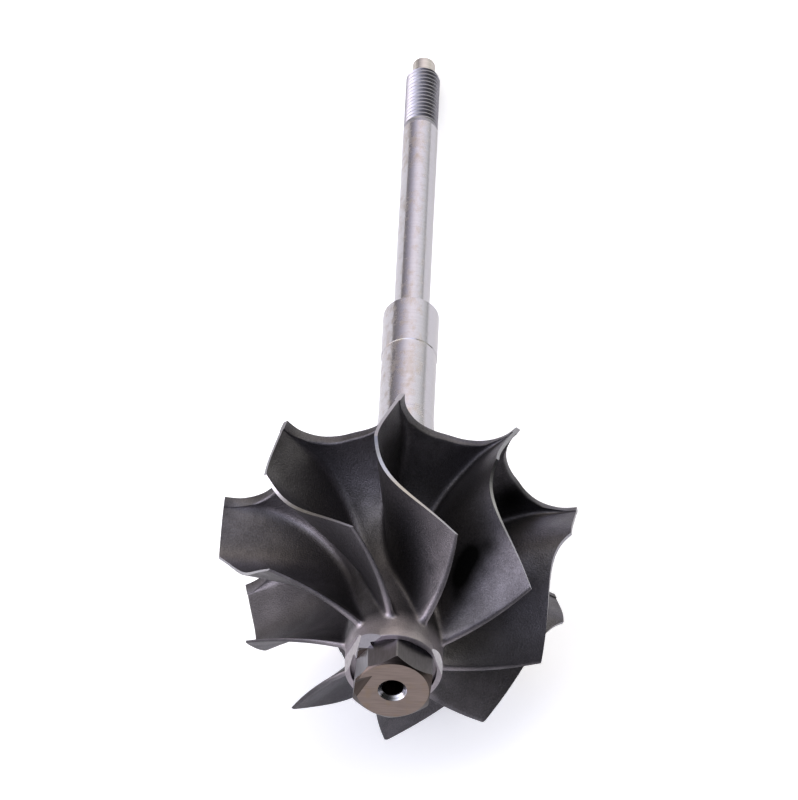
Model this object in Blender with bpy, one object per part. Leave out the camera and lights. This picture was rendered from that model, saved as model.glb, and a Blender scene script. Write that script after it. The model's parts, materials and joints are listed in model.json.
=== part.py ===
"""Turbine wheel and shaft of a turbocharger, lying on a level floor.

The rotor's own frame is the empty "rotor": Y runs along its axis from the nose to the
shaft's end, Y = 0 is the back plane of the scalloped disc, and Z points at blade_1.
An angle is measured clockwise from Z, as seen from the nose.  Lengths are millimetres
here and are multiplied by MM on the way into a mesh.
"""
import math

import bmesh
import bpy
from mathutils import Matrix, Vector

MM = 0.001
SEAT = 0.3                 # clearance between pieces that touch

BLADES = 9
PITCH = 360.0 / BLADES

# Wheel casting
TIP_R = 24.1               # radius over the inlet edges
INLET_WIDTH = 8.27         # inlet edge, measured along the axis
EXIT_R = 19.96             # radius over the outlet tips
EXIT_S = -20.71            # axial place of the outlet tips
RIM_THICK = 1.34           # scalloped disc at its rim
SCALLOP_R = 18.19          # radius to the floor of a scallop
SCALLOP_FILLET = 5.12      # round corner between a scallop's floor and a finger
FINGER_HALF = 0.4          # half the width of a disc finger behind a blade
HUB_R = 6.46               # boss in front of the blades
HUB_WAIST_R = 6.22         # narrowest part of the hub
HUB_WAIST_S = -17.32       # where it is
BOSS_BACK_S = -23.94       # where the blades leave the hub
BOSS_FRONT_S = -27.72      # front of the boss
RECESS_S = -27.01          # floor of the shallow ring around the hexagon
RECESS_R = 6.05            # outer radius of that ring
# Balancing cuts in the boss: name, angle, distance from the axis at the front, run-out angle
BOSS_GRINDS = (
    ("boss_grind_top", -51.5, 5.55, 30.0),
    ("boss_grind_left", -66.0, 5.71, 15.0),
    ("boss_grind_right", 73.0, 6.02, 20.0),
)
BACK_RISE = 0.94           # the back face thickens towards the shaft
EDGE_THICK = 0.5           # blade thickness along its free edge
ROOT_THICK = 1.34          # blade thickness where it leaves the hub

# Blade turn: degrees per mm behind the bend and after it, and where the bend lies
LEAN = 1.0935
TURN = 3.5954
BEND_START = 4.25
BEND_END = 17.72

# Hexagon nose
NOSE_S = -31.57            # end face
HEX_FLATS = 10.0           # across flats
HEX_TURN = 5.4             # angle of the first corner
FACE_R = 5.04              # turned end face
FACE_SLOPE = 38.0          # fall from the end face to the corners
CENTRE_HOLE_R = 1.46       # centre hole in the end face
COUNTERSINK_R = 1.89       # its countersink
CENTRE_HOLE_DEPTH = 4.7    # its depth

# Shaft: radius and end of each step, from the disc towards the thread
SEAL_R = 6.77
SEAL_END = 9.45
GROOVE_R = 5.51            # floor of the piston ring's groove
GROOVE_MID = 5.2           # middle of the groove
GROOVE_WIDTH = 1.34        # width of the groove
JOURNAL_R = 3.92
RELIEF_R = 3.84
TURBINE_JOURNAL_END = 20.39
RELIEF_END = 33.74
JOURNAL_END = 42.76
SHOULDER_RELIEF = 0.2      # undercut where the compressor seat meets the shoulder
SEAT_R = 2.5
SEAT_END = 83.23
THREAD_R = 2.45
THREAD_END = 95.59
PIN_R = 1.65
PIN_END = 98.5


def clear_objects():
    """Remove every object of the open scene."""
    for obj in list(bpy.data.objects):
        bpy.data.objects.remove(obj, do_unlink=True)


def make_material(name, colour, metallic, roughness):
    """A plain metal finish."""
    mat = bpy.data.materials.new(name)
    mat.use_nodes = True
    shader = mat.node_tree.nodes["Principled BSDF"]
    shader.inputs["Base Color"].default_value = (*colour, 1.0)
    shader.inputs["Metallic"].default_value = metallic
    shader.inputs["Roughness"].default_value = roughness
    mat.diffuse_color = (*colour, 1.0)
    return mat


def place(radius, angle, station):
    """Point of the rotor's frame, in metres, at a radius, an angle in degrees and a station."""
    a = math.radians(angle)
    return Vector((radius * math.sin(a) * MM, station * MM, radius * math.cos(a) * MM))


def add_object(name, mesh, mat, rotor):
    """Link a mesh under the rotor, shaded smooth with crisp edges."""
    mesh.materials.append(mat)
    mesh.shade_smooth()
    mesh.set_sharp_from_angle(angle=math.radians(32))
    obj = bpy.data.objects.new(name, mesh)
    bpy.context.collection.objects.link(obj)
    obj.parent = rotor
    return obj


def finish_mesh(bm, name):
    """Close off a bmesh as a mesh whose faces point outwards."""
    bmesh.ops.remove_doubles(bm, verts=bm.verts, dist=1e-7)
    bmesh.ops.recalc_face_normals(bm, faces=bm.faces)
    mesh = bpy.data.meshes.new(name)
    bm.to_mesh(mesh)
    bm.free()
    return mesh


def lathe(name, rings, angles):
    """Closed turned body: each ring gives a radius for every angle and one station.

    The first and the last ring lie on the axis and close the body with fans.
    """
    bm = bmesh.new()
    first = bm.verts.new(place(0.0, 0.0, rings[0][1]))
    last = bm.verts.new(place(0.0, 0.0, rings[-1][1]))
    loops = []
    for radius, station in rings[1:-1]:
        radii = radius if isinstance(radius, list) else [radius] * len(angles)
        loops.append([bm.verts.new(place(r, a, station)) for r, a in zip(radii, angles)])
    count = len(angles)
    for i in range(count):
        j = (i + 1) % count
        bm.faces.new((first, loops[0][i], loops[0][j]))
        bm.faces.new((last, loops[-1][j], loops[-1][i]))
        for inner, outer in zip(loops[:-1], loops[1:]):
            bm.faces.new((inner[i], outer[i], outer[j], inner[j]))
    return finish_mesh(bm, name)


def even_angles(count):
    """Angles of a round piece."""
    return [360.0 * i / count for i in range(count)]


def bezier(points, t):
    """Point of a cubic curve in radius and station."""
    u = 1.0 - t
    weights = (u ** 3, 3 * t * u * u, 3 * t * t * u, t ** 3)
    return tuple(sum(w * p[k] for w, p in zip(weights, points)) for k in (0, 1))


def finger_outline():
    """Half of one scallop: pairs of angle and radius, from a finger's middle to the floor."""
    outline = [(0.0, TIP_R)]
    for radius in (TIP_R, 21.97, 20.55, 19.45, 18.58):
        height = radius - SCALLOP_R
        drop = max(0.0, SCALLOP_FILLET - height)
        half = FINGER_HALF + SCALLOP_FILLET - math.sqrt(SCALLOP_FILLET ** 2 - drop ** 2)
        outline.append((math.degrees(math.asin(half / radius)), radius))
    outline.append((15.6, SCALLOP_R + 0.05))
    outline.append((PITCH / 2, SCALLOP_R))
    return outline


def disc_outline():
    """The whole scalloped outline of the disc as lists of angles and radii."""
    half = finger_outline()
    angles = []
    radii = []
    for k in range(BLADES):
        for angle, radius in half[:-1]:
            angles.append(PITCH * k + angle)
            radii.append(radius)
        for angle, radius in reversed(half[1:]):
            angles.append(PITCH * (k + 1) - angle)
            radii.append(radius)
    return angles, radii


def hub_curve():
    """Hub from the disc's rim to the boss, as pairs of radius and station."""
    flare = ((18.9, -RIM_THICK), (10.63, -2.36), (5.51, -8.66), (HUB_WAIST_R, HUB_WAIST_S))
    points = [(TIP_R, -RIM_THICK), (21.5, -RIM_THICK)]
    points += [bezier(flare, i / 9) for i in range(10)]
    points += [(6.3, -20.63), (HUB_R, BOSS_BACK_S)]
    return points


def blade_turn(station):
    """Angle of a blade's middle surface at a station: a lean that bends into the outlet turn."""
    x = -station
    width = BEND_END - BEND_START
    u = (x - BEND_START) / width
    if u < 0.0:
        bend = 0.0
    elif u < 1.0:
        bend = u ** 3 - u ** 4 / 2
    else:
        bend = u - 0.5
    return -LEAN * x + (LEAN + TURN) * width * bend


def lifted_root():
    """The hub curve moved off the hub by the seat clearance."""
    curve = hub_curve()
    lifted = []
    for i, (r, s) in enumerate(curve):
        r0, s0 = curve[max(i - 1, 0)]
        r1, s1 = curve[min(i + 1, len(curve) - 1)]
        run = math.hypot(r1 - r0, s1 - s0)
        lifted.append((r - (s1 - s0) / run * SEAT, s + (r1 - r0) / run * SEAT))
    return lifted


def shroud_curve(count):
    """Free edge of a blade from the inlet's front corner to the outlet tip."""
    edge = ((TIP_R + 0.08, -INLET_WIDTH), (21.97, -9.92), (19.76, -12.99), (EXIT_R, EXIT_S))
    return [bezier(edge, i / (count - 1)) for i in range(count)]


def blade_mesh(rows):
    """One blade: radial lines at each station, turned by blade_turn and given a thickness."""
    root = lifted_root()
    edge = shroud_curve(len(root))
    bm = bmesh.new()
    sides = []
    for side in (-0.5, 0.5):
        grid = []
        for i, (low, high) in enumerate(zip(root, edge)):
            ramp = min(1.0, i / 4.0)
            line = []
            for j in range(rows + 1):
                v = j / rows
                r = low[0] + (high[0] - low[0]) * v
                s = low[1] + (high[1] - low[1]) * v
                thick = EDGE_THICK + (ROOT_THICK - EDGE_THICK) * ramp * (1.0 - v) ** 1.5
                turn = blade_turn(s)
                slope = math.radians(blade_turn(s + 0.05) - blade_turn(s - 0.05)) / 0.1
                pace = math.hypot(1.0, r * slope)
                a = math.radians(turn)
                normal = Vector((math.cos(a), -r * slope, -math.sin(a))) / pace
                line.append(bm.verts.new(place(r, turn, s) + normal * side * thick * MM))
            grid.append(line)
        sides.append(grid)
    left, right = sides
    columns = len(root) - 1
    for i in range(columns):
        for j in range(rows):
            bm.faces.new((left[i][j], left[i + 1][j], left[i + 1][j + 1], left[i][j + 1]))
            bm.faces.new((right[i][j], right[i][j + 1], right[i + 1][j + 1], right[i + 1][j]))
        bm.faces.new((left[i][0], right[i][0], right[i + 1][0], left[i + 1][0]))
        bm.faces.new((left[i][rows], left[i + 1][rows], right[i + 1][rows], right[i][rows]))
    for j in range(rows):
        bm.faces.new((left[0][j], left[0][j + 1], right[0][j + 1], right[0][j]))
        bm.faces.new((left[columns][j], right[columns][j], right[columns][j + 1], left[columns][j + 1]))
    return finish_mesh(bm, "blade")


def box_cutter(name, size, angle, distance, station, tip):
    """A grinding cut: a box whose inner face lies at a distance from the axis.

    tip turns that face about the tangent, so that the cut runs out along the piece.
    """
    bm = bmesh.new()
    bmesh.ops.create_cube(bm, size=1.0)
    bmesh.ops.scale(bm, vec=Vector(size) * MM, verts=bm.verts)
    bmesh.ops.translate(bm, vec=Vector((0.0, 0.0, size[2] / 2 * MM)), verts=bm.verts)
    turn = Matrix.Rotation(math.radians(angle), 4, 'Y')
    turn = turn @ Matrix.Translation((0.0, station * MM, distance * MM))
    bmesh.ops.transform(bm, matrix=turn @ Matrix.Rotation(math.radians(tip), 4, 'X'), verts=bm.verts)
    return cutter_object(name, finish_mesh(bm, name))


def cutter_object(name, mesh):
    """A guide that is not part of the rotor."""
    obj = bpy.data.objects.new(name, mesh)
    bpy.context.collection.objects.link(obj)
    obj.hide_render = True
    obj.display_type = 'WIRE'
    return obj


def add_boolean(obj, cutter, operation):
    """Cut or trim an object with a guide under the same parent."""
    cutter.parent = obj.parent
    mod = obj.modifiers.new(cutter.name, 'BOOLEAN')
    mod.operation = operation
    mod.object = cutter
    mod.solver = 'EXACT'


def build_hub(rotor, mat):
    """Scalloped disc, flared hub and boss, turned and scalloped as one body."""
    angles, outline = disc_outline()
    rings = [(0.0, BACK_RISE), (7.4, BACK_RISE), (15.75, 0.0), (outline, 0.0), (outline, -RIM_THICK)]
    for radius, station in hub_curve()[2:]:
        radii = [min(radius, limit - 0.3) for limit in outline]
        rings.append((radii if radius > SCALLOP_R - 0.4 else radius, station))
    rings += [(HUB_R, BOSS_FRONT_S + 0.12), (HUB_R - 0.12, BOSS_FRONT_S), (RECESS_R, BOSS_FRONT_S)]
    rings += [(RECESS_R - 0.03, RECESS_S), (0.0, RECESS_S)]
    hub = add_object("wheel_hub", lathe("wheel_hub", rings, angles), mat, rotor)
    front = BOSS_FRONT_S
    for name, angle, distance, tip in BOSS_GRINDS:
        grind = box_cutter(name, (9.4, 9.4, 4.7), angle, distance, front, tip)
        add_boolean(hub, grind, 'DIFFERENCE')
    return hub


def build_nose(rotor, mat):
    """Hexagon nose with a turned end, a countersunk centre hole and one ground corner."""
    back = RECESS_S - SEAT
    corner = HEX_FLATS / math.sqrt(3.0)
    rings = [(0.0, back), (corner, back), (corner, NOSE_S), (0.0, NOSE_S)]
    hexagon = lathe("nose_hex", rings, [HEX_TURN + 60.0 * k for k in range(6)])
    nose = add_object("nose_hex", hexagon, mat, rotor)
    fall = (corner + 1.0 - FACE_R) * math.tan(math.radians(FACE_SLOPE))
    round_end = [(0.0, back + 1.0), (corner + 1.0, back + 1.0), (corner + 1.0, NOSE_S + fall),
                 (FACE_R, NOSE_S), (0.0, NOSE_S)]
    turned = cutter_object("nose_turning", lathe("nose_turning", round_end, even_angles(48)))
    add_boolean(nose, turned, 'INTERSECT')
    sink = COUNTERSINK_R - CENTRE_HOLE_R
    hole = [(0.0, NOSE_S - 1.0), (COUNTERSINK_R + 1.0, NOSE_S - 1.0), (CENTRE_HOLE_R, NOSE_S + sink),
            (CENTRE_HOLE_R, NOSE_S + CENTRE_HOLE_DEPTH - 0.95), (0.0, NOSE_S + CENTRE_HOLE_DEPTH - 0.45)]
    drill = cutter_object("nose_drill", lathe("nose_drill", hole, even_angles(24)))
    add_boolean(nose, drill, 'DIFFERENCE')
    grind = box_cutter("nose_grind", (7.0, 12.6, 3.2), -50.0, 4.96, NOSE_S, 4.0)
    add_boolean(nose, grind, 'DIFFERENCE')
    return nose


def turned_piece(name, profile, mat, rotor, sides=40):
    """A round piece of the shaft from pairs of radius and station."""
    rings = [(0.0, profile[0][1])] + profile + [(0.0, profile[-1][1])]
    return add_object(name, lathe(name, rings, even_angles(sides)), mat, rotor)


def build_shaft(rotor, weld_mat, steel_mat, thread_mat):
    """Seal boss, journals, compressor seat, thread and end pin, each a turned step."""
    half = GROOVE_WIDTH / 2
    seal = [(SEAL_R, BACK_RISE + SEAT), (SEAL_R, GROOVE_MID - half), (GROOVE_R, GROOVE_MID - half),
            (GROOVE_R, GROOVE_MID + half), (SEAL_R, GROOVE_MID + half), (SEAL_R, SEAL_END - 0.95),
            (SEAL_R - 0.47, SEAL_END - 0.47), (SEAL_R - 0.47, SEAL_END)]
    turned_piece("seal_boss", seal, weld_mat, rotor)
    start = SEAL_END + SEAT
    turned_piece("turbine_journal", [(JOURNAL_R, start), (JOURNAL_R, TURBINE_JOURNAL_END)], steel_mat, rotor)
    start = TURBINE_JOURNAL_END + SEAT
    turned_piece("journal_relief", [(RELIEF_R, start), (RELIEF_R, RELIEF_END)], steel_mat, rotor)
    start = RELIEF_END + SEAT
    relief = JOURNAL_END - SHOULDER_RELIEF
    end = [(JOURNAL_R, start), (JOURNAL_R, JOURNAL_END - 0.3), (JOURNAL_R - 0.3, JOURNAL_END),
           (SEAT_R + 0.5, JOURNAL_END), (SEAT_R + 0.3, relief)]
    turned_piece("compressor_journal", end, steel_mat, rotor)
    start = relief + SEAT
    turned_piece("compressor_seat", [(SEAT_R, start), (SEAT_R, SEAT_END)], steel_mat, rotor)
    start = SEAT_END + SEAT
    thread = [(THREAD_R - 0.3, start), (THREAD_R, start + 0.3), (THREAD_R, THREAD_END - 0.45),
              (THREAD_R - 0.45, THREAD_END)]
    turned_piece("threaded_end", thread, thread_mat, rotor)
    start = THREAD_END + SEAT
    pin = [(PIN_R, start), (PIN_R, PIN_END - 0.25), (PIN_R - 0.25, PIN_END)]
    turned_piece("end_pin", pin, steel_mat, rotor)


def world_points(objects):
    """All corners of the finished meshes, in world space."""
    graph = bpy.context.evaluated_depsgraph_get()
    points = []
    for obj in objects:
        body = obj.evaluated_get(graph)
        points += [body.matrix_world @ v.co for v in body.data.vertices]
    return points


def lay_on_floor(rotor, wheel, shaft):
    """Tilt the rotor until two blade corners and the shaft's end touch the floor, then centre it."""
    bpy.context.view_layer.update()
    wheel_points = world_points(wheel)
    shaft_points = world_points(shaft)
    low, high = 0.0, math.radians(30.0)
    for _ in range(50):
        tilt = (low + high) / 2
        turn = Matrix.Rotation(-tilt, 3, 'X')
        wheel_low = min((turn @ p).z for p in wheel_points)
        shaft_low = min((turn @ p).z for p in shaft_points)
        if shaft_low > wheel_low:
            low = tilt
        else:
            high = tilt
    turned = [turn @ p for p in wheel_points + shaft_points]
    xs = [p.x for p in turned]
    ys = [p.y for p in turned]
    zs = [p.z for p in turned]
    rotor.rotation_euler = (-tilt, 0.0, 0.0)
    rotor.location = (-(min(xs) + max(xs)) / 2, -(min(ys) + max(ys)) / 2, -min(zs))


def main():
    clear_objects()
    cast = make_material("cast_alloy", (0.165, 0.152, 0.145), 0.85, 0.48)
    nose_metal = make_material("nose_alloy", (0.24, 0.225, 0.205), 0.9, 0.42)
    weld = make_material("seal_steel", (0.38, 0.37, 0.36), 1.0, 0.35)
    steel = make_material("ground_steel", (0.62, 0.61, 0.62), 1.0, 0.22)
    thread = make_material("thread_steel", (0.42, 0.41, 0.42), 1.0, 0.34)

    rotor = bpy.data.objects.new("rotor", None)
    bpy.context.collection.objects.link(rotor)
    hub = build_hub(rotor, cast)
    build_nose(rotor, nose_metal)
    mesh = blade_mesh(6)
    for k in range(BLADES):
        blade = add_object("blade_%d" % (k + 1), mesh.copy(), cast, rotor)
        blade.rotation_euler = (0.0, math.radians(PITCH * k), 0.0)
    bpy.data.meshes.remove(mesh)
    build_shaft(rotor, weld, steel, thread)

    ends = [bpy.data.objects[name] for name in ("compressor_seat", "threaded_end", "end_pin")]
    wheel = [obj for obj in rotor.children if obj.display_type != 'WIRE' and obj not in ends]
    lay_on_floor(rotor, wheel, ends)


main()
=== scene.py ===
import json
import math

import bmesh
import bpy
import numpy as np
from bpy.props import FloatProperty, FloatVectorProperty, IntProperty, PointerProperty
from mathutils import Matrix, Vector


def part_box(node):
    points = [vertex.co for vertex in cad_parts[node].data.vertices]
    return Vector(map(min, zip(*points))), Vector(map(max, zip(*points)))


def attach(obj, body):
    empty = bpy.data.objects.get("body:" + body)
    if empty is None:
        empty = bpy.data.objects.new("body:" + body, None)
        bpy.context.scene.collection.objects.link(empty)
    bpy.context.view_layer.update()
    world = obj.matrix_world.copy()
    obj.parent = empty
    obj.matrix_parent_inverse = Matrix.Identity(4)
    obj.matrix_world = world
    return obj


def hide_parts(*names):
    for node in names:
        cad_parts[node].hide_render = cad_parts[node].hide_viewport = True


bl_info = {
    "name": "Turbine Wheel and Shaft",
    "version": (1, 0, 0),
    "blender": (4, 5, 0),
    "location": "View3D > Sidebar > Turbine",
    "description": "Cast radial turbine wheel on its ground shaft, with finishes, floor, light and camera",
    "category": "Object",
}

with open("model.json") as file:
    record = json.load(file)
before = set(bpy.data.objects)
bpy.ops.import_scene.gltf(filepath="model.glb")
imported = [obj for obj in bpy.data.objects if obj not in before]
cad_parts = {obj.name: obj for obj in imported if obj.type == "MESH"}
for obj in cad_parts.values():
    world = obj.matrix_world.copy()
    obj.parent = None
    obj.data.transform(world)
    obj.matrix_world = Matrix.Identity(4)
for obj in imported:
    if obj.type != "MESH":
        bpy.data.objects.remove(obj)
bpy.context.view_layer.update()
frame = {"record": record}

# The rotor's own frame: x to the right, the station along the shaft, z through the first
# blade. Lengths there are millimetres, and an angle is clockwise from z, seen from the nose.
MM = 0.001
SEAT_MIDDLE = 63.045             # station of the middle of the compressor seat


def rotor_axes():
    """Rows: right, along the shaft, and up through the first blade, in the world."""
    mount = next(m for m in frame["record"]["mounts"] if m["name"] == "shaft_shoulder")
    along = np.array(mount["axis"], float)
    along /= np.linalg.norm(along)
    right = np.array([1.0, 0.0, 0.0])
    return np.stack([right, along, np.cross(right, along)])


def rotor_origin():
    """World place of station 0 on the axis, from the middle of the compressor seat."""
    low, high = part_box("compressor_seat")
    return (np.array(low) + np.array(high)) / 2 - rotor_axes()[1] * SEAT_MIDDLE * MM


AXES = rotor_axes()
ORIGIN = rotor_origin()

BLADES = 9
PITCH = 2 * math.pi / BLADES


# Sizes and colours

def length(name, description, default):
    """A size in metres, shown in the scene's units."""
    return FloatProperty(name=name, description=description, default=default * MM,
                         min=0.0, unit='LENGTH', precision=5)


def colour(name, description, default):
    """A linear colour."""
    return FloatVectorProperty(name=name, description=description, default=default,
                               subtype='COLOR', size=3, min=0.0, max=1.0)


class WheelSizes(bpy.types.PropertyGroup):
    tip_radius: length("Tip radius", "Radius over the inlet edges", 24.09)
    inlet_width: length("Inlet width", "Inlet edge, from the back plane", 8.27)
    exit_radius: length("Exit radius", "Radius over the outlet tips", 19.96)
    exit_depth: length("Exit depth", "Outlet tips, in front of the back plane", 20.71)
    root_end: length("Root end", "Where the blades leave the hub, in front of the back plane", 23.94)
    rim: length("Rim thickness", "Thickness of the disc at its rim", 1.34)
    scallop: length("Scallop radius", "Radius to the floor of a scallop", 18.19)
    scallop_corner: length("Scallop corner", "Round corner of a scallop", 5.12)
    finger: length("Finger half width", "Half the width of the disc behind a blade's tip", 0.39)
    edge: length("Edge thickness", "Blade thickness along its free edge", 0.44)
    root: length("Root thickness", "Blade thickness at the hub", 1.5)
    fillet: length("Fillet", "Round corner between blade and hub", 1.02)
    boss: length("Boss radius", "Radius of the boss in front of the blades", 6.46)
    rows: IntProperty(name="Rows", description="Grid rows from inlet to outlet", default=72, min=24)


class NoseSizes(bpy.types.PropertyGroup):
    start: length("Start", "Where the boss joins the wheel, in front of the back plane", 25.98)
    front: length("Boss front", "Front of the boss", 27.72)
    recess: length("Recess floor", "Floor of the ring around the hexagon", 27.01)
    tip: length("Nose end", "End face of the hexagon", 31.56)
    flats: length("Across flats", "Hexagon across its flats", 10.0)
    corner: length("Corner round", "Radius of the hexagon's cast corners", 0.35)
    pocket: length("Recess radius", "Outer radius of the recess; the hexagon's corners touch it", 5.72)
    face: length("Face radius", "Turned end face", 4.82)
    hole: length("Centre hole", "Radius of the centre hole", 1.46)
    sink: length("Countersink", "Radius of the countersink", 1.93)


class ShaftSizes(bpy.types.PropertyGroup):
    seal: length("Seal boss", "Radius of the seal boss", 6.77)
    journal: length("Journal", "Radius of both journals", 3.92)
    relief: length("Relief", "Radius between the journals", 3.84)
    seat: length("Seat", "Radius of the compressor seat", 2.5)
    thread: length("Thread", "Outer radius of the thread", 2.46)
    pitch: length("Thread pitch", "Distance from thread to thread", 0.8)
    depth: length("Thread depth", "Depth of the thread", 0.39)
    pin: length("Pin", "Radius of the end pin", 1.65)


class Finishes(bpy.types.PropertyGroup):
    cast: colour("Casting", "Blasted nickel alloy", (0.134, 0.127, 0.14))
    cast_dark: colour("Casting, dark", "Darker grain of the casting", (0.062, 0.058, 0.063))
    # Near-black colour of one real soot smudge, and of painted shade on the second blade and in the channel
    # behind it
    soot: colour("Soot", "Dark soot on the blades", (0.008, 0.008, 0.008))
    boss: colour("Boss", "Turned and rubbed boss", (0.39, 0.355, 0.385))
    nose: colour("Nose", "Rubbed hexagon", (0.222, 0.208, 0.228))
    ground: colour("Ground edge", "Edges and corners bare from blasting and handling", (0.36, 0.355, 0.385))
    dull: colour("Dull facet", "Coarsely ground balancing facet", (0.1, 0.1, 0.11))
    fresh: colour("Fresh facet", "Freshly ground balancing facets", (0.6, 0.58, 0.6))
    face: colour("Turned face", "Turned end of the nose", (0.217, 0.174, 0.157))
    stain: colour("Stain", "Faint yellow-brown stains on the end face", (0.22, 0.155, 0.09))
    steel: colour("Shaft steel", "Ground bearing steel", (0.55, 0.535, 0.57))
    thread: colour("Thread steel", "Rolled thread", (0.37, 0.36, 0.4))
    rust: colour("Rust", "Light rust bloom", (0.36, 0.26, 0.17))
    pin: colour("Pin", "Pale end pin", (0.60, 0.56, 0.52))
    floor: colour("Floor", "Pale studio floor", (0.93, 0.93, 0.95))


# Surfaces

def polar(radius, angle, station):
    """Points of the rotor's frame: x = r sin a, y = station, z = r cos a."""
    radius, angle, station = np.broadcast_arrays(radius, angle, station)
    return np.stack([radius * np.sin(angle), station, radius * np.cos(angle)], -1)


def to_world(points):
    """From the rotor's millimetres to the world's metres."""
    return points.reshape(-1, 3) @ AXES * MM + ORIGIN


def cubic(corners, count):
    """A cubic curve through the first and last of four corners, pulled by the other two."""
    t = np.linspace(0.0, 1.0, count)[:, None]
    a, b, c, d = np.array(corners, float)
    return (1 - t) ** 3 * a + 3 * t * (1 - t) ** 2 * b + 3 * t * t * (1 - t) * c + t ** 3 * d


def even_steps(line, count):
    """Points at equal steps along a line of points."""
    run = np.concatenate([[0.0], np.cumsum(np.hypot(*np.diff(line, axis=0).T))])
    at = np.linspace(0.0, run[-1], count)
    return np.stack([np.interp(at, run, line[:, k]) for k in (0, 1)], -1)


def smooth(x, low, high):
    """0 below low, 1 above high, and a smooth step between them."""
    t = np.clip((x - low) / (high - low), 0.0, 1.0)
    return t * t * (3 - 2 * t)


class Skin:
    """Grids of points that share their border points and are welded into one closed skin."""

    def __init__(self):
        self.points = []
        self.quads = []
        self.finishes = []
        self.count = 0

    def grid(self, points, finish=0):
        """Add a grid of points, rows by columns, as four-sided faces."""
        rows, columns = points.shape[:2]
        number = np.arange(rows * columns).reshape(rows, columns) + self.count
        quads = np.stack([number[:-1, :-1], number[1:, :-1], number[1:, 1:], number[:-1, 1:]], -1)
        self.points.append(points.reshape(-1, 3))
        self.quads.append(quads.reshape(-1, 4))
        self.finishes.append(np.full(quads.shape[0] * quads.shape[1], finish))
        self.count += rows * columns

    def ring(self, points):
        """Add a grid whose last column meets its first."""
        self.grid(np.concatenate([points, points[:, :1]], 1))

    def cap(self, loop):
        """Close a loop round the axis with triangles that meet on the axis."""
        middle = np.broadcast_to([0.0, loop[0, 1], 0.0], loop.shape)
        self.ring(np.stack([loop, middle]))

    def piece(self, name, materials, sharp=38.0):
        """Weld the grids, with faces outwards, into a piece that rides on the rotor's one body."""
        mesh = bpy.data.meshes.new(name)
        corners = to_world(np.concatenate(self.points))
        mesh.from_pydata(corners.tolist(), [], np.concatenate(self.quads).tolist())
        mesh.polygons.foreach_set("material_index", np.concatenate(self.finishes).astype(np.int32))
        weld(mesh)
        for material in materials:
            mesh.materials.append(material)
        mesh.shade_smooth()
        mesh.set_sharp_from_angle(angle=math.radians(sharp))
        piece = bpy.data.objects.new(name, mesh)
        bpy.context.scene.collection.objects.link(piece)
        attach(piece, "root")
        return piece


def weld(mesh):
    """Merge corners that lie on one another and turn all faces outwards."""
    bm = bmesh.new()
    bm.from_mesh(mesh)
    bmesh.ops.remove_doubles(bm, verts=bm.verts, dist=1e-6)
    bmesh.ops.recalc_face_normals(bm, faces=bm.faces)
    bm.to_mesh(mesh)
    bm.free()


def closed_tube(rings):
    """A skin of rings round the axis, closed at both ends."""
    skin = Skin()
    skin.ring(rings)
    skin.cap(rings[0])
    skin.cap(rings[-1])
    return skin


def turned(profile, sides):
    """A turned skin: each pair of radius and station goes once round the axis."""
    profile = np.array(profile, float)
    angle = np.linspace(0.0, 2 * math.pi, sides, endpoint=False)
    return closed_tube(polar(profile[:, :1], angle[None, :], profile[:, 1:]))


# The wheel's surfaces

# A blade leans back by LEAN for each mm up to its bend, and turns forward by TURN past it.
# Ranges of depth are in front of the back plane.
LEAN = math.radians(1.0935)
TURN = math.radians(3.5954)
BEND_START, BEND_END = 4.25, 17.72
TAPER = 1.3                              # power by which a blade thins from root to free edge
OUTLET_THINNING = 0.32                   # share of its thickness that it loses to the outlet
THINNING_DEPTHS = 11.0, 20.0             # over these depths
ROOT_RAMP = 7.1                          # the root has its full thickness this far inside the tip
FILLET_GROWS = 0.4, 5.1                  # a fillet grows to its size this far inside the tip
FILLET_LOSS = 0.2                        # share of it that is lost again to the outlet
LOSS_DEPTHS = 14.2, 22.8                 # over these depths

# Rounded outlet edge: its roundness, how far the apron under it reaches past the fillet, how
# much the apron swells on the way, and the share of its slant that it loses
EDGE_ROUND = 0.95
APRON_REACH, APRON_SWELL, APRON_TWIST = 0.24, 0.3, 0.6

# Hub and free edge as radius and station: what pulls each curve, and the hub's way to the boss
FLARE_START = 18.9                       # radius where the disc's front begins to flare
FLARE = ((10.63, -2.36), (5.51, -8.66), (6.22, -17.32))
NECK = (6.3, -20.63)
FREE_EDGE = ((21.97, -9.92), (19.76, -12.99))
CURVE_POINTS = 200

# Edge rounding of the disc: on a finger, what a scallop's floor has more, and the least at the back
FINGER_ROUND, FLOOR_ROUND, BACK_ROUND = 0.04, 0.26, 0.12

# Back of the disc as radius and station: flat, a low cone, and the fillet to the seal boss
BACK_RIM = 16.15
BACK = ((15.75, 0.003), (15.35, 0.03), (14.8, 0.08), (11.4, 0.47), (8.1, 0.85), (7.64, 0.92),
        (7.25, 1.06), (7.0, 1.26), (6.9, 1.5), (6.77, 1.57), (6.0, 1.57))

INNER_R = 15.75                          # inside it the hub's rows are true circles
SIDE_STEPS, FILLET_STEPS = 20, 6         # up a blade's side, and over its fillet
FLOOR_STEPS, PROW_STEPS = 30, 8          # from blade to blade, and round an outlet edge


def blade_turn(station):
    """Angle of a blade's middle surface: it leans back, then bends into the outlet turn.

    The bend is u^3 - u^4 / 2 over the bend's length, and a straight line beyond it.
    """
    x = -station
    width = BEND_END - BEND_START
    u = (x - BEND_START) / width
    inside = np.clip(u, 0.0, 1.0)
    bend = inside ** 3 - inside ** 4 / 2 + np.maximum(u - 1.0, 0.0)
    return -LEAN * x + (LEAN + TURN) * width * bend


def blade_slope(station):
    """Turn of the blade for each millimetre along the axis."""
    return (blade_turn(station + 0.05) - blade_turn(station - 0.05)) / 0.1


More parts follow.
